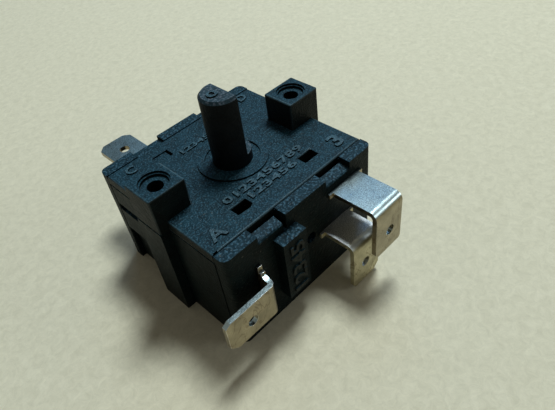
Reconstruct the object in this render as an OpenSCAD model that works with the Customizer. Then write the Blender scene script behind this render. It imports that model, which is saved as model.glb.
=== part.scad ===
// Rotary oven selector switch: a two-part snap-fit housing, a keyed spindle with
// two cam tracks and an index star, four sprung contacts and five tab terminals.
// Millimetres. The origin is on the spindle axis at the underside of the housing.
// Z points up the spindle, X runs along the front face, the front is towards -Y.

/* [Housing] */
// Width of the housing along X, without the screw posts
body_width = 31.1; // [30.9:0.1:32]
// Depth of the housing along Y, without the terminals
body_depth = 30.7; // [30.6:0.1:31.5]
// Height from the underside to the top face of the cover
body_height = 19.4; // [19.4:0.1:21]
// Thickness of the cover plate
cover_thickness = 1.6; // [1.4:0.1:1.6]
// Thickness of the two side walls
side_wall = 1.9; // [1.6:0.1:2]
// Thickness of the front and back walls
end_wall = 2.3; // [2.1:0.1:2.3]
// Thickness of the floor
floor_thickness = 2.1; // [1.7:0.1:2.3]
// Radius of the upright corners of the housing
corner_radius = 1.1; // [0.5:0.1:1.5]

/* [Screw posts] */
// Distance between the two screw holes along X
screw_spacing = 28; // [27.8:0.1:28.4]
// Length of a post along X
post_length = 6.4; // [6:0.1:6.6]
// Width of a post along Y
post_width = 6; // [5.4:0.1:6.4]
// Height of a post above the cover
post_height = 4.9; // [3:0.1:7]
// Radius of the screw bore
bore_radius = 1.25; // [1.1:0.05:1.65]
// Radius of the wide entry of the screw hole
entry_radius = 2.4; // [2.2:0.1:2.6]

/* [Spindle] */
// Radius of the operating shaft
shaft_radius = 3.175; // [3:0.025:3.25]
// Length of the shaft above the cover
shaft_length = 12.2; // [8:0.1:20]
// Distance of the key flat from the spindle axis
flat_distance = 0.7; // [0.5:0.05:1.5]
// Height of the round foot of the shaft above the cover
flat_start = 1.7; // [1:0.1:4]
// Radius of the cam tracks between the lobes
valley_radius = 5.4; // [5.2:0.1:5.4]
// Height of the cam lobes above the valleys
lobe_height = 1.1; // [0.7:0.1:1.2]
// Outer radius of the index star
star_radius = 6.7; // [6.5:0.1:6.8]
// Number of index positions in one turn
index_positions = 8; // [4:4:8]
// Radial gap of the spindle in its two bearings
running_gap = 0.05; // [0.03:0.01:0.09]

/* [Terminals] */
// Width of the push-on tabs
tab_width = 6.3; // [6:0.1:6.3]
// Thickness of the terminal plate
tab_thickness = 0.8; // [0.7:0.1:0.8]
// Radius of the latch hole in each tab
tab_hole_radius = 0.9; // [0.6:0.05:1]
// Reach of terminal A in front of the front wall
terminal_a_reach = 8.55; // [8:0.05:10]
// Reach of the common terminal in front of the front wall
common_reach = 6.25; // [5.5:0.05:6.6]
// Reach of terminal B in front of the front wall
terminal_b_reach = 2.95; // [2.6:0.05:4]
// Length of the folded blade of terminal B along X
terminal_b_length = 9.65; // [8:0.05:11]
// Reach of terminal C behind the back wall
terminal_c_reach = 9.3; // [7:0.1:11]
// Reach of terminal D behind the back wall
terminal_d_reach = 8.2; // [6:0.1:11]

/* [Contacts] */
// Thickness of the contact leaves
leaf_thickness = 0.25; // [0.2:0.01:0.3]
// Height of the contact leaves
leaf_height = 1.8; // [1.6:0.1:2]
// Opening between a moving and a fixed contact at rest
contact_gap = 0.4; // [0.3:0.05:0.5]

/* [Marking block] */
// Width of the raised block on the front wall
block_width = 4.65; // [3:0.05:5]
// Height of the raised block on the front wall
block_height = 12; // [8:0.05:12.1]
// Amount that the block stands out from the front wall
block_relief = 2.05; // [0.6:0.05:2.4]

/* [Hidden] */
$fn = 64;
eps = 0.02;
fit_gap = 0.05;

half_width = body_width / 2;
half_depth = body_depth / 2;
inner_x = half_width - side_wall;
inner_y = half_depth - end_wall;
seat_z = body_height - cover_thickness;
seam = 0.1;
seam_groove = 0.13;
groove_depth = 0.5;
side_seam = 0.15;
joint_line = 0.15;

post_x = screw_spacing / 2;
post_top = body_height + post_height;
entry_depth = 0.35;
step_radius = entry_radius - 0.25;
step_depth = 0.8;
relief_radius = bore_radius + 0.5;
relief_bottom = 13;

block_left = -6.95;
block_bottom = 4.6;
wall_hole = [0.6, 10.6];
wall_hole_radius = 1;
wall_hole_depth = 1.2;

panel_depth = 0.9;
panel_top = 8;
side_slot = [12.4, 13.8];
side_slot_depth = 1.2;

front_notch_x = [-9.55, 4.6];
back_notch_x = [-9.5, 4.25];
notch_width = 5.5;
notch_end_gap = 0.7;
skirt_drop = 1.1;
skirt_z = seat_z - skirt_drop;
skirt_width = 1;
lip_reach = 1.1;
lip_thickness = 0.45;
lip_inset = 0.8;
pocket_floor = skirt_z - fit_gap;
hook_gap = 0.3;
hook_edge = 0.2;
front_hook_top = seat_z + 0.35;
front_hook_rise = 0.4;
back_hook_top = seat_z + 1;
back_hook_rise = 0.1;

open_windows = [[-6.75, -9.3], [7.4, -9.3], [7.4, 9.3]];
blind_window = [-6.8, 9.75];
window_size = [3, 1.9];
blind_depth = 0.25;
blind_slot = 0.4;
corner_gap = [[0.25, -0.2], [1, 0.3]];
corner_gap_depth = 0.8;
ring_inner = 4.5;
ring_outer = 5.75;
ring_height = 0.3;
boss_radius = 5.2;
boss_drop = 1.2;

pin_radius = 2.15;
pin_floor = 0.9;
pin_gap = 0.1;
bearing_radius = 3.9;
bearing_top = floor_thickness + 0.9;
star_bottom = bearing_top + 0.1;
star_top = 7;
valley_cut_radius = 1.5;
valley_cut_distance = star_radius + 0.4;
hub_radius = 4.7;
hub_top = seat_z - boss_drop - 0.1;
lower_track = [10.4, 12.2];
upper_track = [12.5, 14.3];
lobe_ramp = 10;
shaft_top = body_height + shaft_length;
shaft_chamfer = 0.4;

upper_plate = 15.8;
common_plate = 9.1;
ear_width = 0.75;
ear_depth = 0.45;
neck_inset = 0.2;
tight_fold = 0.3;
wide_fold = 0.6;
arm_width = 0.8;
flank_drop = 1.5;
flank_x = 10;
flank_end = 4.5;
shoulder = 1;
contact_y = 6.5;
upper_contact_z = 13.4;
lower_contact_z = 11.3;
rivet_hole = 0.6;
rivet_stem = 0.55;
rivet_head = 1.2;
rivet_flat = 0.65;
rivet_tail = 0.85;
fixed_head = 0.6;
moving_head = 0.4;
tail_height = 0.2;

leaf_x = flank_x - fixed_head - contact_gap - moving_head - leaf_thickness / 2;
leaf_root = 12.6;
lug_end = 10.7;
contact_side = [[0, 0], [1, 0], [1, 1], [0, 1]];
contact_height = [upper_contact_z, lower_contact_z, upper_contact_z, lower_contact_z];
lug_x = leaf_x - leaf_thickness / 2;
root_rivet_y = 11.6;
nose_x = valley_radius + 0.05;

terminal_a_x = 8.7;
terminal_a_tip = 7.15;
terminal_a_hole = [0.3, 11.05];
common_x = 6.3;
common_tip = 0.45;
common_hole = [-0.2, 4.5];
low_tab_bottom = 6.1;
low_tab_top = low_tab_bottom + tab_width;
low_tab_middle = low_tab_bottom + tab_width / 2;
wall_tab_top = 14.4;
wall_tab_steps = [13.4, 12.8];
terminal_b_hole = [-0.3, 5.1];
tongue_bottom = 9.3;
tongue_top = 13.1;
terminal_c_x = 8.1;
straight_hole = 3.9;
tip_cut = [1.1, 1];

bus_hole = star_radius + 0.4;
pad_x = [5.6, 8.2];
pad_y = 10.6;

index_y = 9.3;
index_thickness = 0.3;
index_bottom = 3.5;
index_height = 3.2;
index_end = 9.5;
index_nose = valley_cut_distance - valley_cut_radius + 0.4;
holder_x = [8.9, 10];
holder_y = [8.4, 10.2];

plastic = [0.12, 0.12, 0.13];
metal = [0.78, 0.76, 0.72];
bronze = [0.78, 0.56, 0.32];
silver = [0.86, 0.86, 0.84];
steel = [0.6, 0.61, 0.63];

// Direction of travel from one path point to another
function heading(from, to) = (to - from) / norm(to - from);

// Point beside path point i, so that a ribbon keeps its thickness round the bends
function beside(path, i, reach) =
    let (
        last = len(path) - 1,
        before = heading(path[max(i - 1, 0)], path[max(i, 1)]),
        after = heading(path[min(i, last - 1)], path[min(i + 1, last)]),
        across = [-before[1] - after[1], before[0] + after[0]]
    )
    path[i] + across * 2 * reach / (across * across);

// Upright ribbon of even thickness that follows a flat path
module ribbon(path, thickness, height) {
    last = len(path) - 1;
    one_side = [for (i = [0 : last]) beside(path, i, thickness / 2)];
    other_side = [for (i = [last : -1 : 0]) beside(path, i, -thickness / 2)];
    linear_extrude(height)
        polygon(concat(one_side, other_side));
}

// Cuboid given by its lowest and highest corner
module span_box(low, high) {
    translate(low)
        cube(high - low);
}

// Upright block with rounded corners, centred on the axis
module rounded_block(width, depth, height, radius) {
    linear_extrude(height)
        union() {
            square([width - 2 * radius, depth], center = true);
            square([width, depth - 2 * radius], center = true);
            for (side_x = [-1, 1], side_y = [-1, 1])
                translate([side_x * (width / 2 - radius), side_y * (depth / 2 - radius)])
                    circle(radius);
        }
}

// The same shape at the front and at the back, left and right
module in_four_corners() {
    for (flip_x = [0, 1], flip_y = [0, 1])
        mirror([flip_x, 0, 0])
            mirror([0, flip_y, 0])
                children();
}

// Flat blade along +Y with two cut tip corners, each across by along, and a latch hole
module blade(length, left_cut, right_cut, hole_at) {
    half = tab_width / 2;
    difference() {
        linear_extrude(tab_thickness)
            polygon([
                [-half, 0],
                [half, 0],
                [half, length - right_cut[1]],
                [half - right_cut[0], length],
                [-half + left_cut[0], length],
                [-half, length - left_cut[1]]
            ]);
        translate([hole_at[0], hole_at[1], -1])
            cylinder(r = tab_hole_radius, h = tab_thickness + 2, $fn = 32);
    }
}

// Quarter fold of terminal plate about the Z axis, from +X round to +Y
module quarter_fold(height, inner) {
    rotate_extrude(angle = 90)
        translate([inner, 0])
            square([tab_thickness, height]);
}

// Moulded base: walls, floor, columns, hooks, terminal slots and inner seats
module base() {
    color(plastic)
        difference() {
            union() {
                base_shell();
                base_columns();
                marking_block();
                inner_seats();
            }
            for (side = [-1, 1])
                translate([side * post_x, 0, relief_bottom])
                    cylinder(r = relief_radius, h = body_height, $fn = 32);
            translate([0, 0, pin_floor])
                cylinder(r = pin_radius + running_gap, h = body_height);
            at_notches(front_notch_x, 1)
                hook_notch(front_hook_top, front_hook_rise);
            at_notches(back_notch_x, 0)
                hook_notch(back_hook_top, back_hook_rise);
            hook_side_gap();
            terminal_slots();
            side_reliefs();
            seam_grooves();
            translate([wall_hole[0], -half_depth + wall_hole_depth, wall_hole[1]])
                rotate([90, 0, 0])
                    cylinder(r = wall_hole_radius, h = wall_hole_depth + 1, $fn = 32);
        }
}

// Box of the base with its cavity and the seat for the cover
module base_shell() {
    difference() {
        rounded_block(body_width, body_depth, body_height, corner_radius);
        span_box([-inner_x, -inner_y, floor_thickness], [inner_x, inner_y, body_height + 1]);
        span_box([-body_width, -inner_y, seat_z], [body_width, inner_y, body_height + 1]);
    }
}

// Columns under the two screw posts
module base_columns() {
    for (side = [-1, 1])
        translate([side * post_x - post_length / 2, -post_width / 2, 0])
            cube([post_length, post_width, seat_z]);
}

// Raised block on the front wall
module marking_block() {
    span_box(
        [block_left, -half_depth - block_relief, block_bottom],
        [block_left + block_width, -half_depth + 1, block_bottom + block_height]
    );
}

// Spindle bearing, pads under the bus plate and holders for the index springs
module inner_seats() {
    translate([0, 0, floor_thickness - eps])
        cylinder(r = bearing_radius, h = bearing_top - floor_thickness + eps);
    in_four_corners() {
        span_box([pad_x[0], pad_y, 1], [pad_x[1], inner_y + 1, common_plate]);
        difference() {
            span_box([holder_x[0], holder_y[0], 1], [holder_x[1], holder_y[1], index_bottom + index_height]);
            span_box(
                [holder_x[0] - 1, index_y - index_thickness / 2 - fit_gap, index_bottom - fit_gap],
                [index_end + fit_gap, index_y + index_thickness / 2 + fit_gap, body_height]
            );
        }
    }
}

// Children placed at the left end of each notch, at the front with side 1
module at_notches(places, side) {
    for (x = places)
        translate([x, 0, 0])
            mirror([0, side, 0])
                children();
}

// Notch with the hook that holds the cover lip, drawn as it lies in the back rim
module hook_notch(hook_top, hook_rise) {
    outer = half_depth + 1;
    behind = inner_y - 0.5;
    gap_edge = inner_y + hook_gap;
    pocket = inner_y + lip_reach + fit_gap;
    under_nose = skirt_z + lip_thickness + fit_gap;
    rotate([90, 0, 90])
        linear_extrude(notch_width)
            polygon([
                [behind, body_height + 1],
                [outer, body_height + 1],
                [outer, hook_top - hook_edge],
                [half_depth, hook_top - hook_edge],
                [half_depth - hook_edge, hook_top],
                [gap_edge + hook_edge, hook_top + hook_rise],
                [gap_edge, hook_top],
                [gap_edge, under_nose],
                [pocket, under_nose],
                [pocket, pocket_floor],
                [behind, pocket_floor]
            ]);
}

// Gap through the rim beside the front left hook
module hook_side_gap() {
    gap_right = front_notch_x[0] + notch_width;
    span_box(
        [gap_right - notch_end_gap, -half_depth - 1, pocket_floor],
        [gap_right, -inner_y + 0.5, body_height + 1]
    );
}

// Slots through the front and back walls for the five terminals
module terminal_slots() {
    wall_in = inner_y - eps;
    wall_out = half_depth + 1;
    neck_reach = tab_width / 2 - neck_inset + fit_gap;
    tab_reach = tab_width / 2 + fit_gap;
    upper_low = upper_plate - fit_gap;
    upper_high = upper_plate + tab_thickness + fit_gap;
    span_box(
        [terminal_a_x - neck_reach, -wall_out, upper_low],
        [terminal_a_x + neck_reach, -wall_in, upper_high]
    );
    span_box(
        [common_x - neck_reach, -wall_out, common_plate],
        [common_x + neck_reach, -wall_in, common_plate + tab_thickness + fit_gap]
    );
    span_box(
        [-flank_x - tab_thickness - fit_gap, -wall_out, low_tab_bottom - fit_gap],
        [-flank_x + fit_gap, -wall_in, wall_tab_top + fit_gap]
    );
    span_box(
        [-terminal_c_x - tab_reach, wall_in, upper_low],
        [-terminal_c_x + tab_reach, wall_out, upper_high]
    );
    span_box(
        [flank_x - fit_gap, wall_in, low_tab_bottom - fit_gap],
        [flank_x + tab_thickness + fit_gap, wall_out, low_tab_top + fit_gap]
    );
}

// Sunk lower panel and slot in the side walls, left-back and right-front
module side_reliefs() {
    from_y = post_width / 2 + 0.3;
    to_y = inner_y - side_seam - 0.1;
    for (turn = [0, 180])
        rotate([0, 0, turn]) {
            span_box(
                [-half_width - 1, from_y, -1],
                [-half_width + panel_depth, to_y, panel_top]
            );
            span_box(
                [-half_width - 1, from_y, side_slot[0]],
                [-half_width + side_slot_depth, to_y, side_slot[1]]
            );
        }
}

// Fine grooves where the mould parts and the cover meet
module seam_grooves() {
    in_four_corners() {
        span_box(
            [half_width - 2 * side_seam, inner_y - side_seam, -1],
            [half_width + 1, inner_y + side_seam, seat_z]
        );
        span_box(
            [-1, inner_y - 1, body_height - groove_depth],
            [half_width + 1, inner_y + seam_groove, body_height + 1]
        );
        span_box(
            [half_width - joint_line, post_width / 2, seat_z - joint_line],
            [half_width + 1, inner_y, seat_z + 1]
        );
        span_box(
            [post_x + post_length / 2 - joint_line, -1, seat_z - joint_line],
            [post_x + post_length / 2 + 1, post_width, seat_z + 1]
        );
    }
}

// Moulded cover: plate, posts, raised ring, bearing, windows and lipped skirt
module cover() {
    color(plastic)
        difference() {
            union() {
                span_box(
                    [-half_width, -inner_y + seam, seat_z],
                    [half_width, inner_y - seam, body_height]
                );
                for (side = [-1, 1])
                    translate([side * post_x - post_length / 2, -post_width / 2, seat_z])
                        cube([post_length, post_width, post_top - seat_z]);
                translate([0, 0, seat_z - boss_drop])
                    cylinder(r = boss_radius, h = boss_drop + 1);
                shaft_ring();
                cover_skirt();
            }
            translate([0, 0, seat_z - boss_drop - 1])
                cylinder(r = shaft_radius + running_gap, h = body_height);
            for (side = [-1, 1])
                translate([side * post_x, 0, post_top])
                    screw_hole();
            cover_windows();
            span_box(
                [-half_width + corner_gap[0][0], -inner_y + corner_gap[0][1], body_height - corner_gap_depth],
                [-half_width + corner_gap[1][0], -inner_y + corner_gap[1][1], body_height + 1]
            );
        }
}

// Flat raised ring round the shaft
module shaft_ring() {
    translate([0, 0, body_height - eps])
        difference() {
            cylinder(r = ring_outer, h = ring_height + eps);
            translate([0, 0, -1])
                cylinder(r = ring_inner, h = ring_height + 2);
        }
}

// Three open windows, and a blind one at the back left with a slot at its inner end
module cover_windows() {
    slot_x = blind_window[0] + (window_size[0] - blind_slot) / 2;
    for (at = open_windows)
        translate([at[0], at[1], body_height])
            cube([window_size[0], window_size[1], body_height], center = true);
    translate([blind_window[0], blind_window[1], body_height])
        cube([window_size[0], window_size[1], 2 * blind_depth], center = true);
    translate([slot_x, blind_window[1], body_height])
        cube([blind_slot, window_size[1], body_height], center = true);
}

// Skirt under the cover plate with the four lips that snap below the hooks
module cover_skirt() {
    outer_x = inner_x - seam;
    outer_y = inner_y - seam;
    post_room = 0.2;
    difference() {
        span_box([-outer_x, -outer_y, skirt_z], [outer_x, outer_y, seat_z + 0.5]);
        span_box(
            [-outer_x + skirt_width, -outer_y + skirt_width, skirt_z - 1],
            [outer_x - skirt_width, outer_y - skirt_width, seat_z + 1]
        );
        in_four_corners()
            span_box(
                [post_x - post_length / 2 - post_room, -1, skirt_z - 1],
                [half_width, post_width / 2 + post_room, seat_z]
            );
    }
    at_notches(front_notch_x, 1)
        cover_lip();
    at_notches(back_notch_x, 0)
        cover_lip();
}

// Lip of the skirt that reaches below one hook, drawn as it lies at the back
module cover_lip() {
    span_box(
        [lip_inset, inner_y - seam - 0.5, skirt_z],
        [notch_width - lip_inset, inner_y + lip_reach - seam, skirt_z + lip_thickness]
    );
}

// Screw hole below a post top: two shallow steps and the bore
module screw_hole() {
    translate([0, 0, -entry_depth])
        cylinder(r = entry_radius, h = entry_depth + 1);
    translate([0, 0, -step_depth])
        cylinder(r = step_radius, h = step_depth);
    translate([0, 0, -body_height])
        cylinder(r = bore_radius, h = body_height, $fn = 48);
}

// Spindle: bearing pin, index star, cam tracks, hub and keyed shaft in one piece
module spindle() {
    color(plastic)
        difference() {
            union() {
                translate([0, 0, pin_floor + pin_gap])
                    cylinder(r = pin_radius, h = star_top - pin_floor - pin_gap);
                index_star();
                translate([0, 0, star_top - eps])
                    cylinder(r = hub_radius, h = hub_top - star_top + eps);
                translate([0, 0, lower_track[0]])
                    cylinder(r = valley_radius, h = upper_track[1] - lower_track[0]);
                cam_lobe(upper_track, -103, 104);
                cam_lobe(lower_track, -32, 32);
                cam_lobe(lower_track, -122, 32);
                translate([0, 0, hub_top - eps])
                    cylinder(r = shaft_radius, h = shaft_top - shaft_chamfer - hub_top + eps);
                translate([0, 0, shaft_top - shaft_chamfer])
                    cylinder(r1 = shaft_radius, r2 = shaft_radius - shaft_chamfer, h = shaft_chamfer);
            }
            span_box(
                [flat_distance, -shaft_radius - 1, body_height + flat_start],
                [shaft_radius + 1, shaft_radius + 1, shaft_top + 1]
            );
        }
}

// Star wheel with one rounded valley for each index position
module index_star() {
    translate([0, 0, star_bottom])
        difference() {
            cylinder(r = star_radius, h = star_top - star_bottom);
            for (i = [0 : index_positions - 1])
                rotate([0, 0, 90 + i * 360 / index_positions])
                    translate([valley_cut_distance, 0, -1])
                        cylinder(r = valley_cut_radius, h = star_top, $fn = 32);
        }
}

// Raised cam lobe with ramped ends on one track, centred on an angle
module cam_lobe(track, centre, width) {
    height = track[1] - track[0];
    lobe_radius = valley_radius + lobe_height;
    wide = 2 * lobe_radius;
    inner = valley_radius - 0.3;
    half = width / 2;
    crest = half - lobe_ramp;
    translate([0, 0, track[0]])
        rotate([0, 0, centre])
            intersection() {
                cylinder(r = lobe_radius, h = height);
                linear_extrude(height)
                    polygon([
                        [0, 0],
                        [inner * cos(half), -inner * sin(half)],
                        [lobe_radius * cos(crest), -lobe_radius * sin(crest)],
                        [wide * cos(crest), -wide * sin(crest)],
                        [wide, 0],
                        [wide * cos(crest), wide * sin(crest)],
                        [lobe_radius * cos(crest), lobe_radius * sin(crest)],
                        [inner * cos(half), inner * sin(half)]
                    ]);
            }
}

// Plate terminal that leaves the front wall flat and is folded down in front of it
module folded_terminal(centre_x, plate_z, inner_end, reach, tip_z, left_cut, right_cut, hole_at) {
    outer_y = half_depth + reach;
    fold_outer = wide_fold + tab_thickness;
    fold_y = outer_y - fold_outer;
    plate_top = plate_z + tab_thickness;
    blade_top = plate_top - fold_outer;
    half = tab_width / 2;
    span_box(
        [centre_x - half + neck_inset, -half_depth - ear_depth, plate_z],
        [centre_x + half - neck_inset, -inner_end, plate_top]
    );
    span_box(
        [centre_x - half - ear_width, -half_depth - ear_depth, plate_z],
        [centre_x + half + ear_width, -half_depth - fit_gap, plate_top]
    );
    span_box(
        [centre_x - half, -fold_y, plate_z],
        [centre_x + half, -half_depth - ear_depth + eps, plate_top]
    );
    translate([centre_x - half, -fold_y, blade_top])
        rotate([180, -90, 0])
            quarter_fold(tab_width, wide_fold);
    translate([centre_x, -outer_y, blade_top])
        rotate([-90, 0, 0])
            blade(blade_top - tip_z, left_cut, right_cut, [hole_at[0], blade_top - hole_at[1]]);
}

// Terminal A: upper front tab with an inner arm
module terminal_a() {
    color(metal)
        union() {
            folded_terminal(
                terminal_a_x, upper_plate, inner_y - shoulder, terminal_a_reach,
                terminal_a_tip, [0.7, 0.75], [0.35, 0.4], terminal_a_hole
            );
            upper_arm();
        }
}

// Terminal C: straight flat tab out of the back wall
module terminal_c() {
    blade_length = end_wall + shoulder + terminal_c_reach;
    color(metal)
        union() {
            translate([-terminal_c_x, inner_y - shoulder, upper_plate])
                blade(blade_length, tip_cut, tip_cut, [0, blade_length - straight_hole]);
            rotate([0, 0, 180])
                upper_arm();
        }
}

// Inner arm of an upper terminal, folded down to carry the fixed contact
module upper_arm() {
    arm_start = inner_y - shoulder + eps;
    fold_x = flank_x - tight_fold;
    fold_z = upper_plate - tight_fold;
    difference() {
        union() {
            span_box(
                [fold_x - arm_width, -arm_start, upper_plate],
                [fold_x, -flank_end, upper_plate + tab_thickness]
            );
            translate([fold_x, -flank_end, fold_z])
                rotate([90, 0, 0])
                    quarter_fold(arm_start - flank_end, tight_fold);
            span_box(
                [flank_x, -arm_start, upper_contact_z - flank_drop],
                [flank_x + tab_thickness, -flank_end, fold_z]
            );
        }
        translate([0, 0, upper_contact_z])
            cross_hole(flank_x - 1, contact_y);
    }
}

// Terminal B: upright strip out of the front wall, folded towards the left
module terminal_b() {
    outer_y = half_depth + terminal_b_reach;
    fold_outer = tight_fold + tab_thickness;
    fold_x = flank_x + fold_outer;
    fold_y = outer_y - fold_outer;
    step_y = half_depth + ear_depth;
    color(metal)
        union() {
            translate([-flank_x, 0, 0])
                rotate([0, -90, 0])
                    linear_extrude(tab_thickness)
                        polygon([
                            [low_tab_bottom, -fold_y],
                            [low_tab_top, -fold_y],
                            [wall_tab_steps[1], -step_y - ear_depth],
                            [wall_tab_steps[0], -step_y - ear_depth],
                            [wall_tab_steps[0], -step_y],
                            [wall_tab_top, -step_y],
                            [wall_tab_top, -inner_y + shoulder],
                            [low_tab_bottom, -inner_y + shoulder]
                        ]);
            translate([-fold_x, -fold_y, low_tab_bottom])
                rotate([0, 0, -90])
                    quarter_fold(tab_width, tight_fold);
            translate([-fold_x, -outer_y + tab_thickness, low_tab_middle])
                rotate([0, -90, 90])
                    blade(
                        terminal_b_length - fold_outer, [1.2, 1.3], [0.55, 0.95],
                        [terminal_b_hole[0], terminal_b_hole[1] - fold_outer]
                    );
            lower_tongue();
        }
}

// Terminal D: straight upright tab out of the back wall
module terminal_d() {
    blade_length = end_wall + shoulder + terminal_d_reach;
    color(metal)
        union() {
            translate([flank_x + tab_thickness, inner_y - shoulder, low_tab_middle])
                rotate([0, -90, 0])
                    blade(blade_length, tip_cut, tip_cut, [0, blade_length - straight_hole]);
            rotate([0, 0, 180])
                lower_tongue();
        }
}

// Lower inner tongue that carries the fixed contact of terminal B or D
module lower_tongue() {
    difference() {
        span_box(
            [-flank_x - tab_thickness, -inner_y + shoulder - eps, tongue_bottom],
            [-flank_x, -flank_end, tongue_top]
        );
        translate([0, 0, lower_contact_z])
            cross_hole(-flank_x - 2, contact_y);
    }
}

// Common terminal: folded tab, bus plate round the spindle and four spring lugs
module terminal_common() {
    color(metal)
        union() {
            folded_terminal(
                common_x, common_plate, leaf_root - 1, common_reach,
                common_tip, [0.3, 0.4], [1.1, 1.1], common_hole
            );
            difference() {
                span_box(
                    [-lug_x, -leaf_root, common_plate],
                    [lug_x, leaf_root, common_plate + tab_thickness]
                );
                translate([0, 0, common_plate - 1])
                    cylinder(r = bus_hole, h = tab_thickness + 2);
            }
            for (i = [0 : 3])
                spring_lug(i);
        }
}

// Lug bent up from the bus plate to hold the root of one contact leaf
module spring_lug(i) {
    at_contact(i)
        difference() {
            span_box(
                [lug_x - tab_thickness, -leaf_root, common_plate + eps - contact_height[i]],
                [lug_x, -lug_end, leaf_height / 2]
            );
            cross_hole(lug_x - 2, root_rivet_y);
        }
}

// Children placed at contact A, B, C or D and at its height
module at_contact(i) {
    mirror([contact_side[i][0], 0, 0])
        mirror([0, contact_side[i][1], 0])
            translate([0, 0, contact_height[i]])
                children();
}

// Rivet hole along X
module cross_hole(from_x, at_y) {
    translate([from_x, -at_y, 0])
        rotate([0, 90, 0])
            cylinder(r = rivet_hole, h = 4, $fn = 24);
}

// Bronze contact leaf from its root to the nose that rides on the cam
module contact_spring(i) {
    path = [
        [leaf_x, -leaf_root],
        [leaf_x, -4.2],
        [nose_x + 0.5, -2.1],
        [nose_x, -1.35],
        [nose_x + 0.35, -0.7],
        [nose_x + 1.25, -0.3]
    ];
    color(bronze)
        at_contact(i)
            difference() {
                translate([0, 0, -leaf_height / 2])
                    ribbon(path, leaf_thickness, leaf_height);
                cross_hole(leaf_x - 2, contact_y);
                cross_hole(leaf_x - 2, root_rivet_y);
            }
}

// Moving contact riveted to a leaf
module moving_contact(i) {
    face_x = leaf_x + leaf_thickness / 2;
    tail_x = lug_x - tail_height;
    color(silver)
        at_contact(i)
            translate([0, -contact_y, 0])
                rotate([0, 90, 0]) {
                    translate([0, 0, face_x])
                        cylinder(r1 = rivet_head, r2 = rivet_flat, h = moving_head, $fn = 32);
                    translate([0, 0, tail_x])
                        cylinder(r = rivet_stem, h = face_x - tail_x + eps, $fn = 24);
                    translate([0, 0, tail_x])
                        cylinder(r = rivet_tail, h = tail_height, $fn = 24);
                }
}

// Fixed contact riveted to the inner flank of a terminal
module fixed_contact(i) {
    back_x = flank_x + tab_thickness;
    color(silver)
        at_contact(i)
            translate([0, -contact_y, 0])
                rotate([0, 90, 0]) {
                    translate([0, 0, flank_x - fixed_head])
                        cylinder(r1 = rivet_flat, r2 = rivet_head, h = fixed_head, $fn = 32);
                    translate([0, 0, flank_x - eps])
                        cylinder(r = rivet_stem, h = tab_thickness + tail_height, $fn = 24);
                    translate([0, 0, back_x])
                        cylinder(r = rivet_tail, h = tail_height, $fn = 24);
                }
}

// Rivets that hold the leaf roots to the lugs of the bus plate
module spring_rivets() {
    tail_x = lug_x - tab_thickness - tail_height;
    head_x = leaf_x + leaf_thickness / 2;
    color(steel)
        for (i = [0 : 3])
            at_contact(i)
                translate([0, -root_rivet_y, 0])
                    rotate([0, 90, 0]) {
                        translate([0, 0, tail_x])
                            cylinder(r = rivet_tail, h = tail_height, $fn = 24);
                        translate([0, 0, tail_x])
                            cylinder(r = rivet_stem, h = head_x - tail_x + eps, $fn = 24);
                        translate([0, 0, head_x])
                            cylinder(r = rivet_tail, h = tail_height, $fn = 24);
                    }
}

// Index spring: steel strip with a nose in one valley of the star
module index_spring() {
    path = [
        [-index_end, index_y],
        [-3.5, index_y],
        [-1.7, index_nose + 1.4],
        [-0.6, index_nose],
        [0.6, index_nose],
        [1.7, index_nose + 1.4],
        [3.5, index_y],
        [index_end, index_y]
    ];
    color(steel)
        translate([0, 0, index_bottom])
            ribbon(path, index_thickness, index_height);
}

base();
cover();
spindle();
terminal_a();
terminal_b();
terminal_c();
terminal_d();
terminal_common();
contact_spring(0);  // contact_spring_a
contact_spring(1);  // contact_spring_b
contact_spring(2);  // contact_spring_c
contact_spring(3);  // contact_spring_d
moving_contact(0);  // moving_contact_a
moving_contact(1);  // moving_contact_b
moving_contact(2);  // moving_contact_c
moving_contact(3);  // moving_contact_d
fixed_contact(0);  // fixed_contact_a
fixed_contact(1);  // fixed_contact_b
fixed_contact(2);  // fixed_contact_c
fixed_contact(3);  // fixed_contact_d
spring_rivets();
mirror([0, 1, 0]) index_spring();  // index_spring_front
index_spring();  // index_spring_back
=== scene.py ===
"""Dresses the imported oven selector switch: softened mouldings, raised figures, finishes, light and camera."""
import math

import bmesh
import bpy
from mathutils import Matrix, Vector


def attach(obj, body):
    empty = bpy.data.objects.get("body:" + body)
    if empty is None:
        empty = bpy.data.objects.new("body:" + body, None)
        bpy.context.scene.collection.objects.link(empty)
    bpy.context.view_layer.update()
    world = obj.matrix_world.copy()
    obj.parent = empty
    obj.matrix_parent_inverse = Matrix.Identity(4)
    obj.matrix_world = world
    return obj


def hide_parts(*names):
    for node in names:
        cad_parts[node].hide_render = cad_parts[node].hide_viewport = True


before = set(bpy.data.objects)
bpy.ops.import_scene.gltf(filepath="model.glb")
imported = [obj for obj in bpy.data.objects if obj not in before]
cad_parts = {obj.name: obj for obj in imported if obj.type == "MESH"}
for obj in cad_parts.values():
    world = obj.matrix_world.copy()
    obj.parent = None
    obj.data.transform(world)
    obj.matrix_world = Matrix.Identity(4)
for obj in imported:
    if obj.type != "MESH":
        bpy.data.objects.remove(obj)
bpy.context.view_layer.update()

# Lengths are in millimetres, and MM takes them to metres. The floor and the lights are placed in metres.
MM = 0.001

# Raised figures
COVER_TOP = 19.4
BLOCK_FRONT = -17.4
SHAFT_END = 31.6
FIGURE_RELIEF = 0.24
FIGURE_ROOT = 0.03
STROKE_GROWTH = 0.022

# Angles between two faces, in degrees: the faces are joined below FLAT_ANGLE and shaded as one below
# SMOOTH_ANGLE, and their edge is rounded above EDGE_ANGLE. Points within MERGE_DISTANCE become one.
FLAT_ANGLE = 0.5
SMOOTH_ANGLE = 30
EDGE_ANGLE = 32
MERGE_DISTANCE = 0.0005

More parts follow.
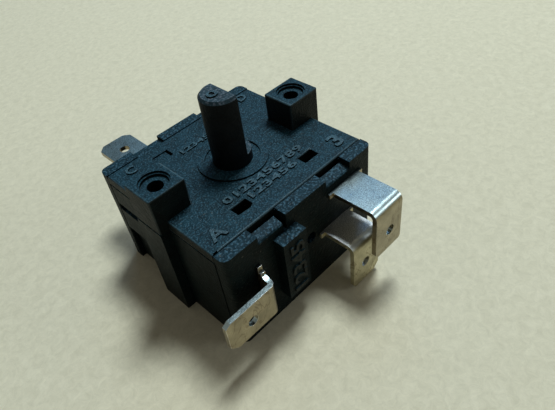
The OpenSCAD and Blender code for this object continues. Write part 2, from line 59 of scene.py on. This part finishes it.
# Edge radii
BASE_RADIUS = 0.20
COVER_RADIUS = 0.26
SPINDLE_RADIUS = 0.12
STAMPING_RADIUS = 0.07
RADIUS_SEGMENTS = 3

# The photograph's camera, solved from the housing's edges, the posts and the tabs
PHOTO_WIDTH_PX = 555
PHOTO_HEIGHT_PX = 410
CAMERA_PLACE = (-37.11, -53.71, 70.11)
CAMERA_AZIMUTH = -39.42
CAMERA_ELEVATION = 43.79
CAMERA_ROLL = -8.96
CAMERA_FOCAL_PX = 517.04
CAMERA_CENTRE_PX = (275.09, 204.69)
CAMERA_CLIP_M = 0.005
SENSOR_WIDTH = 36

# Floor and light
FLOOR_REACH_M = 1.5
FLOOR_DARK = (0.67, 0.605, 0.440)
FLOOR_PALE = (0.80, 0.725, 0.540)
FLOOR_MOTTLE = 1.6
FLOOR_RELIEF = 0.06
LIGHT_TARGET_M = (0, 0, 0.01)


# Node trees

def new_material(name, metallic=0.0, roughness=0.5):
    """A material with its Principled shader, ready for textures."""
    material = bpy.data.materials.new(name)
    material.use_nodes = True
    tree = material.node_tree
    shader = tree.nodes["Principled BSDF"]
    shader.inputs["Metallic"].default_value = metallic
    shader.inputs["Roughness"].default_value = roughness
    return material, tree, shader


def object_position(tree, stretch=(1, 1, 1)):
    """Object coordinates in metres, stretched along the axes."""
    place = tree.nodes.new("ShaderNodeTexCoord")
    mapping = tree.nodes.new("ShaderNodeMapping")
    mapping.inputs["Scale"].default_value = stretch
    tree.links.new(place.outputs["Object"], mapping.inputs["Vector"])
    return mapping.outputs["Vector"]


def noise(tree, where, feature_mm, detail=3.0, roughness=0.55, distortion=0.0):
    """Noise whose features are about feature_mm wide."""
    node = tree.nodes.new("ShaderNodeTexNoise")
    node.inputs["Scale"].default_value = 1.0 / (feature_mm * MM)
    node.inputs["Detail"].default_value = detail
    node.inputs["Roughness"].default_value = roughness
    node.inputs["Distortion"].default_value = distortion
    tree.links.new(where, node.inputs["Vector"])
    return node.outputs["Fac"]


def remap(tree, value, low, high, to_low=0.0, to_high=1.0):
    """value taken from low..high to to_low..to_high, clamped."""
    node = tree.nodes.new("ShaderNodeMapRange")
    node.inputs["From Min"].default_value = low
    node.inputs["From Max"].default_value = high
    node.inputs["To Min"].default_value = to_low
    node.inputs["To Max"].default_value = to_high
    tree.links.new(value, node.inputs["Value"])
    return node.outputs["Result"]


def combine(tree, operation, first, second):
    """One arithmetic step on two values; a number stands for itself."""
    node = tree.nodes.new("ShaderNodeMath")
    node.operation = operation
    for socket, value in zip(node.inputs, (first, second)):
        if isinstance(value, (int, float)):
            socket.default_value = value
        else:
            tree.links.new(value, socket)
    return node.outputs["Value"]


def mix_colour(tree, factor, first, second):
    """Colour that goes from first to second with factor."""
    # A Mix node keeps its colour sockets behind those for numbers and vectors.
    node = tree.nodes.new("ShaderNodeMix")
    node.data_type = "RGBA"
    tree.links.new(factor, node.inputs["Factor"])
    for socket, value in ((node.inputs[6], first), (node.inputs[7], second)):
        if isinstance(value, tuple):
            socket.default_value = (*value, 1.0)
        else:
            tree.links.new(value, socket)
    return node.outputs[2]


def bump(tree, shader, height, depth_mm, strength):
    """Surface relief from a height of 0 to 1, depth_mm deep."""
    node = tree.nodes.new("ShaderNodeBump")
    node.inputs["Distance"].default_value = depth_mm * MM
    node.inputs["Strength"].default_value = strength
    tree.links.new(height, node.inputs["Height"])
    tree.links.new(node.outputs["Normal"], shader.inputs["Normal"])


def scaled(colour, factor):
    """colour made darker or lighter, up to white."""
    return tuple(min(channel * factor, 1.0) for channel in colour)


def upward_share(tree, low=0.4, high=0.95):
    """0 on upright faces, 1 on faces that look up."""
    place = tree.nodes.new("ShaderNodeTexCoord")
    parts = tree.nodes.new("ShaderNodeSeparateXYZ")
    tree.links.new(place.outputs["Normal"], parts.inputs["Vector"])
    return remap(tree, parts.outputs["Z"], low, high)


# Finishes

# Black moulding: painted glints on the grain outshine the painted sheen of the upper faces by this gain in red,
# green and blue
GLINT_GAIN = (6.4, 3.4, 3.2)
COARSE_TO_FINE_GRAIN = 3.2
RUBBED_PATCH = 3.4
DUST_SPECK = 0.30
DUST_TONE = (0.20, 0.20, 0.17)

# Plated strip: thin brown lines where a noise crosses STAIN_LEVEL
STAIN_TONE = (0.12, 0.075, 0.035)
STAIN_SHARE = 0.5
STAIN_LEVEL = 0.56
STRIP_RELIEF = 0.012
SPRING_RELIEF = 0.006


def moulded_plastic(name, side, top, rough, specular, grain_mm, relief_mm, sparkle, dust=0.0):
    """Black moulding with a spark-eroded grain and rubbed patches; its upper faces are painted paler and bluer
    as a sheen of the light from above, with painted glints on the grain.
    """
    material, tree, shader = new_material(name)
    shader.inputs["Specular IOR Level"].default_value = specular
    where = object_position(tree)
    grain = noise(tree, where, grain_mm, detail=2.0)
    coarse = noise(tree, where, grain_mm * COARSE_TO_FINE_GRAIN, detail=2.0)
    rubbed = noise(tree, where, RUBBED_PATCH, detail=6.0, roughness=0.7)
    specks = noise(tree, where, DUST_SPECK, detail=1.0)
    share = remap(tree, combine(tree, "ADD", rubbed, coarse), 0.8, 1.2)
    side_tone = mix_colour(tree, share, scaled(side, 0.7), scaled(side, 1.4))
    # Painted sheen: upper faces paler and bluer than the sides, with painted glints on the grain
    top_sheen_tone = mix_colour(tree, share, scaled(top, 0.45), scaled(top, 0.95))
    glint = remap(tree, grain, 0.50, 0.66, 0.0, sparkle)
    glint_tone = tuple(channel * gain for channel, gain in zip(top, GLINT_GAIN))
    upper_sheen_tone = mix_colour(tree, glint, top_sheen_tone, glint_tone)
    tone = mix_colour(tree, upward_share(tree), side_tone, upper_sheen_tone)
    speck_share = remap(tree, specks, 0.71, 0.74, 0.0, dust)
    tree.links.new(mix_colour(tree, speck_share, tone, DUST_TONE), shader.inputs["Base Color"])
    tree.links.new(remap(tree, rubbed, 0.3, 0.75, rough + 0.05, rough - 0.05), shader.inputs["Roughness"])
    relief = combine(tree, "ADD", grain, combine(tree, "MULTIPLY", coarse, 0.8))
    bump(tree, shader, relief, relief_mm, strength=0.9)
    return material


def plated_strip(name, front, top, rough, bend_highlight_gain):
    """Tin-plated strip: rolled grain, scratches and pits, with dull patches and stain lines on upright faces.

    Upper faces take the top tone, a painted reflection of the light above, and bent corners take it times the
    bend gain as a painted highlight.
    """
    material, tree, shader = new_material(name, metallic=1.0)
    where = object_position(tree)
    rolled = noise(tree, object_position(tree, (1, 9, 1)), 0.35, detail=4.0)
    scratches = noise(tree, object_position(tree, (14, 1, 5)), 0.9, detail=6.0, roughness=0.7)
    patches = noise(tree, where, 2.2, detail=5.0, roughness=0.65)
    pits = noise(tree, where, 0.16, detail=1.0)
    wander = noise(tree, object_position(tree, (1.0, 1.0, 0.6)), 3.2, detail=3.0, distortion=0.8)
    dull = remap(tree, patches, 0.38, 0.68)
    clean_front = mix_colour(tree, dull, scaled(front, 1.15), scaled(front, 0.78))
    off_line = combine(tree, "ABSOLUTE", combine(tree, "SUBTRACT", wander, STAIN_LEVEL), 0.0)
    stain = remap(tree, off_line, 0.004, 0.016, STAIN_SHARE, 0.0)
    front_tone = mix_colour(tree, stain, clean_front, STAIN_TONE)
    pitted_top_reflection = mix_colour(tree, remap(tree, pits, 0.35, 0.7), scaled(top, 0.62), scaled(top, 1.50))
    # Bent corners take a painted highlight and upper faces a painted reflection of the light above
    bend_highlight_tone = mix_colour(tree, upward_share(tree, 0.45, 0.75), front_tone, scaled(top, bend_highlight_gain))
    tone = mix_colour(tree, upward_share(tree, 0.94, 0.995), bend_highlight_tone, pitted_top_reflection)
    tree.links.new(tone, shader.inputs["Base Color"])
    finish = combine(tree, "ADD", remap(tree, patches, 0.3, 0.75, rough - 0.04, rough + 0.08),
                     remap(tree, scratches, 0.5, 0.8, 0.0, 0.10))
    tree.links.new(finish, shader.inputs["Roughness"])
    scored = combine(tree, "ADD", combine(tree, "MULTIPLY", scratches, 0.6),
                     combine(tree, "MULTIPLY", pits, 0.9))
    relief = combine(tree, "ADD", combine(tree, "MULTIPLY", rolled, 0.5), scored)
    bump(tree, shader, relief, STRIP_RELIEF, strength=0.8)
    return material


def spring_strip(name, base, shade, rough):
    """Bare spring strip with a rolled grain."""
    material, tree, shader = new_material(name, metallic=1.0)
    rolled = noise(tree, object_position(tree, (9, 1, 9)), 0.5, detail=4.0)
    tint = noise(tree, object_position(tree), 1.8, detail=3.0)
    tone = mix_colour(tree, remap(tree, tint, 0.35, 0.7), base, shade)
    tree.links.new(tone, shader.inputs["Base Color"])
    tree.links.new(remap(tree, rolled, 0.3, 0.7, rough - 0.05, rough + 0.1), shader.inputs["Roughness"])
    bump(tree, shader, rolled, SPRING_RELIEF, strength=0.6)
    return material


# Each top tone is a painted sheen: upper faces paler and bluer than the sides, as the light from above makes
# them
COVER = moulded_plastic(
    "cover_finish", side=(0.0022, 0.0050, 0.0048), top=(0.0068, 0.0355, 0.0530),
    rough=0.52, specular=0.12, grain_mm=0.27, relief_mm=0.13, sparkle=0.7, dust=0.3)
BASE = moulded_plastic(
    "base_finish", side=(0.0020, 0.0066, 0.0070), top=(0.0076, 0.0330, 0.0490),
    rough=0.52, specular=0.09, grain_mm=0.38, relief_mm=0.13, sparkle=1.0, dust=0.35)
# The housing's edge finish is paler than the faces it rounds, a painted highlight along the edges
HOUSING_EDGE_HIGHLIGHT = moulded_plastic(
    "housing_edge_highlight", side=(0.009, 0.017, 0.020), top=(0.030, 0.088, 0.118),
    rough=0.50, specular=0.24, grain_mm=0.12, relief_mm=0.03, sparkle=0.3, dust=0.3)
# The figures' upper faces are paler than the cover's, a painted highlight on their raised strokes
FIGURE = moulded_plastic(
    "figure_finish", side=(0.0050, 0.0080, 0.0070), top=(0.0260, 0.0820, 0.1100),
    rough=0.52, specular=0.24, grain_mm=0.20, relief_mm=0.05, sparkle=0.4)
SPINDLE = moulded_plastic(
    "spindle_finish", side=(0.0026, 0.0040, 0.0052), top=(0.028, 0.060, 0.078),
    rough=0.55, specular=0.12, grain_mm=0.40, relief_mm=0.09, sparkle=0.6)
# The shaft's edge finish is paler too, a painted edge highlight
SPINDLE_EDGE_HIGHLIGHT = moulded_plastic(
    "spindle_edge_highlight", side=(0.007, 0.010, 0.012), top=(0.05, 0.08, 0.095),
    rough=0.5, specular=0.20, grain_mm=0.12, relief_mm=0.02, sparkle=0.3, dust=0.2)
# Upper faces take a bluer top tone, a painted reflection of the cool light above; the bend gains and the common
# tab's near-white top are painted highlights
TAB = plated_strip(
    "tab_finish", front=(0.31, 0.265, 0.180), top=(0.165, 0.20, 0.205), rough=0.30, bend_highlight_gain=4.7)
REAR_TAB = plated_strip(
    "rear_tab_finish", front=(0.31, 0.265, 0.180), top=(0.27, 0.38, 0.42), rough=0.30, bend_highlight_gain=1.6)
COMMON_TAB = plated_strip(
    "common_tab_finish", front=(0.50, 0.45, 0.30), top=(0.93, 0.97, 0.97), rough=0.50, bend_highlight_gain=1.0)
# The stamped edges are far paler than the strips, a painted highlight
TAB_EDGE_HIGHLIGHT = plated_strip(
    "tab_edge_highlight", front=(0.74, 0.70, 0.62), top=(0.84, 0.86, 0.84), rough=0.30, bend_highlight_gain=1.2)
BRONZE = spring_strip("bronze_finish", base=(0.72, 0.47, 0.27), shade=(0.56, 0.36, 0.22), rough=0.28)
SILVER = spring_strip("silver_finish", base=(0.86, 0.85, 0.83), shade=(0.72, 0.70, 0.67), rough=0.25)
STEEL = spring_strip("steel_finish", base=(0.52, 0.53, 0.55), shade=(0.40, 0.40, 0.41), rough=0.3)

TERMINAL_FINISHES = {
    "terminal_a": TAB, "terminal_b": TAB, "terminal_c": REAR_TAB, "terminal_d": REAR_TAB,
    "terminal_common": COMMON_TAB}


# Softened pieces

def set_materials(piece, *materials):
    """piece wears only these materials."""
    piece.data.materials.clear()
    for material in materials:
        piece.data.materials.append(material)


def shade_by_angle(mesh, degrees):
    """Smooth shading that keeps edges sharper than degrees."""
    mesh.shade_smooth()
    mesh.set_sharp_from_angle(angle=math.radians(degrees))


def mark_soft_edges(work, length_mm, area_mm2):
    """Bevel weight on the outer corners of long edges between broad faces, clear of small features."""
    weight = work.edges.layers.float.new("bevel_weight_edge")
    for edge in work.edges:
        if len(edge.link_faces) != 2 or edge.calc_length() < length_mm * MM:
            continue
        broad = all(face.calc_area() > area_mm2 * MM * MM for face in edge.link_faces)
        if broad and edge.is_convex and edge.calc_face_angle() > math.radians(EDGE_ANGLE):
            edge[weight] = 1.0


def clean_copy(node, length_mm, area_mm2):
    """A merged copy of a CAD node's mesh with its flat faces joined and its soft edges marked."""
    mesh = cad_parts[node].data.copy()
    work = bmesh.new()
    work.from_mesh(mesh)
    bmesh.ops.remove_doubles(work, verts=work.verts, dist=MERGE_DISTANCE * MM)
    bmesh.ops.dissolve_limit(
        work, angle_limit=math.radians(FLAT_ANGLE), use_dissolve_boundaries=False,
        verts=work.verts, edges=work.edges, delimit={"NORMAL"})
    mark_soft_edges(work, length_mm, area_mm2)
    work.to_mesh(mesh)
    work.free()
    if "custom_normal" in mesh.attributes:
        mesh.attributes.remove(mesh.attributes["custom_normal"])
    shade_by_angle(mesh, SMOOTH_ANGLE)
    return mesh


def softened(node, body, face, edge, radius_mm, length_mm=0.0, area_mm2=0.0):
    """The CAD node with the small edge radii of the real moulding or stamping, which wear a paler edge finish
    painted on as a highlight.

    Only edges longer than length_mm, between faces larger than area_mm2, are rounded.
    """
    piece = bpy.data.objects.new(node + "_soft", clean_copy(node, length_mm, area_mm2))
    bpy.context.scene.collection.objects.link(piece)
    set_materials(piece, face, edge)
    for polygon in piece.data.polygons:
        polygon.material_index = 0
    bevel = piece.modifiers.new("edge_radius", "BEVEL")
    bevel.width = radius_mm * MM
    bevel.segments = RADIUS_SEGMENTS
    bevel.limit_method = "WEIGHT"
    bevel.use_clamp_overlap = True
    # The radii wear the second material, paler as a painted edge highlight
    bevel.material = 1
    even = piece.modifiers.new("even_shading", "WEIGHTED_NORMAL")
    even.keep_sharp = True
    view = bpy.context.evaluated_depsgraph_get()
    mesh = bpy.data.meshes.new_from_object(piece.evaluated_get(view))
    piece.modifiers.clear()
    piece.data = mesh
    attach(piece, body)
    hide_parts(node)


# Raised figures

def figure_mesh(text, box, turn):
    """Points and faces of raised characters that fill box (left, right, bottom, top in millimetres)."""
    data = bpy.data.curves.new("figure", "FONT")
    data.body = text
    data.resolution_u = 2
    # The extrusion only makes a lower and an upper layer of points. Their heights are set below.
    data.extrude = 0.5
    data.offset = STROKE_GROWTH
    source = bpy.data.objects.new("figure", data)
    bpy.context.scene.collection.objects.link(source)
    mesh = source.evaluated_get(bpy.context.evaluated_depsgraph_get()).to_mesh()
    points = [v.co.copy() for v in mesh.vertices]
    faces = [tuple(p.vertices) for p in mesh.polygons]
    low = Vector([min(p[i] for p in points) for i in range(2)])
    high = Vector([max(p[i] for p in points) for i in range(2)])
    left, right, bottom, top = box
    width = (right - left) / (high.x - low.x)
    height = (top - bottom) / (high.y - low.y)
    placed = []
    for p in points:
        rise = FIGURE_RELIEF if p.z > 0 else -FIGURE_ROOT
        place = Vector((left + (p.x - low.x) * width, bottom + (p.y - low.y) * height, rise))
        placed.append(turn @ place)
    bpy.data.objects.remove(source)
    return placed, faces


def figures(name, marks, turn, body="housing"):
    """One piece with every mark (text and box) of one face of a body."""
    vertices, faces = [], []
    for text, box in marks:
        more, more_faces = figure_mesh(text, box, turn)
        faces += [tuple(i + len(vertices) for i in face) for face in more_faces]
        vertices += more
    mesh = bpy.data.meshes.new(name)
    mesh.from_pydata([v * MM for v in vertices], [], faces)
    piece = bpy.data.objects.new(name, mesh)
    bpy.context.scene.collection.objects.link(piece)
    set_materials(piece, FIGURE)
    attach(piece, body)


def cover_figures():
    """Plain raised figures on the cover, where the moulding carries its markings."""
    figures("cover_figures", [
        ("A", (-14.0, -11.3, -11.7, -9.3)),
        ("3", (11.8, 13.8, -11.8, -8.9)),
        ("0123456789", (-8.0, 8.4, -7.6, -6.1)),
        ("123456", (-4.6, 5.0, -9.5, -8.1)),
        ("1234567", (-4.4, 4.2, 7.2, 8.4)),
        ("C", (-13.2, -11.4, 9.9, 11.9)),
        ("D", (11.6, 13.4, 10.5, 12.5)),
    ], Matrix.Translation((0, 0, COVER_TOP)))


def block_figures():
    """Plain raised digits up the front of the marking block."""
    upward = Matrix(((0, -1, 0, 0), (0, 0, -1, BLOCK_FRONT), (1, 0, 0, 0), (0, 0, 0, 1)))
    figures("block_figures", [("12345", (5.4, 15.4, 3.1, 5.9))], upward)


def shaft_mark():
    """The round gate mark on the end of the shaft."""
    on_end = Matrix.Translation((0, 0, SHAFT_END))
    figures("shaft_mark", [("0", (-2.1, -0.3, -0.8, 0.9))], on_end, "spindle")


# Floor, light and camera

def floor():
    """Plain pale floor with the faint mottle of paper."""
    mesh = bpy.data.meshes.new("floor")
    corners = ((-1, -1), (1, -1), (1, 1), (-1, 1))
    mesh.from_pydata([(x * FLOOR_REACH_M, y * FLOOR_REACH_M, 0) for x, y in corners], [], [(0, 1, 2, 3)])
    plane = bpy.data.objects.new("floor", mesh)
    bpy.context.scene.collection.objects.link(plane)
    material, tree, shader = new_material("floor_finish", roughness=0.85)
    mottle = noise(tree, object_position(tree), FLOOR_MOTTLE, detail=6.0, roughness=0.8, distortion=0.6)
    tone = mix_colour(tree, remap(tree, mottle, 0.35, 0.65), FLOOR_DARK, FLOOR_PALE)
    tree.links.new(tone, shader.inputs["Base Color"])
    bump(tree, shader, mottle, FLOOR_RELIEF, strength=0.5)
    set_materials(plane, material)


def area_light(name, place, size, power, colour):
    """Soft box at place, facing the switch."""
    data = bpy.data.lights.new(name, "AREA")
    data.shape = "SQUARE"
    data.size = size
    data.energy = power
    data.color = colour
    lamp = bpy.data.objects.new(name, data)
    lamp.location = place
    lamp.rotation_euler = (Vector(LIGHT_TARGET_M) - Vector(place)).to_track_quat("-Z", "Y").to_euler()
    bpy.context.scene.collection.objects.link(lamp)


def world_light(strength, colour):
    """Even dim surroundings."""
    world = bpy.data.worlds.new("surroundings")
    world.use_nodes = True
    background = world.node_tree.nodes["Background"]
    background.inputs["Color"].default_value = (*colour, 1.0)
    background.inputs["Strength"].default_value = strength
    bpy.context.scene.world = world


def camera():
    """Camera at the photograph's place, with the photograph's focal length and centre."""
    azimuth, elevation, roll = (math.radians(a) for a in (CAMERA_AZIMUTH, CAMERA_ELEVATION, CAMERA_ROLL))
    flat_part = math.cos(elevation)
    back = Vector((math.sin(azimuth) * flat_part, -math.cos(azimuth) * flat_part, math.sin(elevation)))
    level = (-back).cross(Vector((0, 0, 1))).normalized()
    upright = level.cross(-back)
    right = math.cos(roll) * level + math.sin(roll) * upright
    up = -math.sin(roll) * level + math.cos(roll) * upright
    data = bpy.data.cameras.new("photo_camera")
    data.sensor_width = SENSOR_WIDTH
    data.lens = CAMERA_FOCAL_PX * SENSOR_WIDTH / PHOTO_WIDTH_PX
    centre_x, centre_y = CAMERA_CENTRE_PX
    data.shift_x = (PHOTO_WIDTH_PX / 2 - centre_x) / PHOTO_WIDTH_PX
    data.shift_y = (centre_y - PHOTO_HEIGHT_PX / 2) / PHOTO_WIDTH_PX
    data.clip_start = CAMERA_CLIP_M
    lens = bpy.data.objects.new("photo_camera", data)
    turn = Matrix((right, up, back)).transposed().to_4x4()
    lens.matrix_world = Matrix.Translation(Vector(CAMERA_PLACE) * MM) @ turn
    bpy.context.scene.collection.objects.link(lens)
    bpy.context.scene.camera = lens


# The object

softened(
    "base", "housing", BASE, HOUSING_EDGE_HIGHLIGHT,
    BASE_RADIUS, length_mm=3.0, area_mm2=12.0)
softened(
    "cover", "housing", COVER, HOUSING_EDGE_HIGHLIGHT,
    COVER_RADIUS, length_mm=2.0, area_mm2=4.0)
softened("spindle", "spindle", SPINDLE, SPINDLE_EDGE_HIGHLIGHT, SPINDLE_RADIUS)
for terminal, finish in TERMINAL_FINISHES.items():
    softened(terminal, "housing", finish, TAB_EDGE_HIGHLIGHT, STAMPING_RADIUS)
for letter in "abcd":
    set_materials(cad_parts["contact_spring_" + letter], BRONZE)
    set_materials(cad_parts["moving_contact_" + letter], SILVER)
    set_materials(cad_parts["fixed_contact_" + letter], SILVER)
for steel_piece in ("spring_rivets", "index_spring_front", "index_spring_back"):
    set_materials(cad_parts[steel_piece], STEEL)

cover_figures()
block_figures()
shaft_mark()

floor()
world_light(strength=0.12, colour=(1.0, 1.0, 0.9))
area_light("window_light", (0.46, 0.40, 0.53), size=0.42, power=0.72, colour=(0.26, 0.58, 1.0))
area_light("key_light", (0.26, 0.10, 0.635), size=0.17, power=3.7, colour=(0.82, 0.94, 0.98))
area_light("side_light", (0.35, -0.41, 0.26), size=0.16, power=0.30, colour=(0.85, 0.96, 1.0))
camera()
bpy.context.scene.view_settings.view_transform = "Standard"
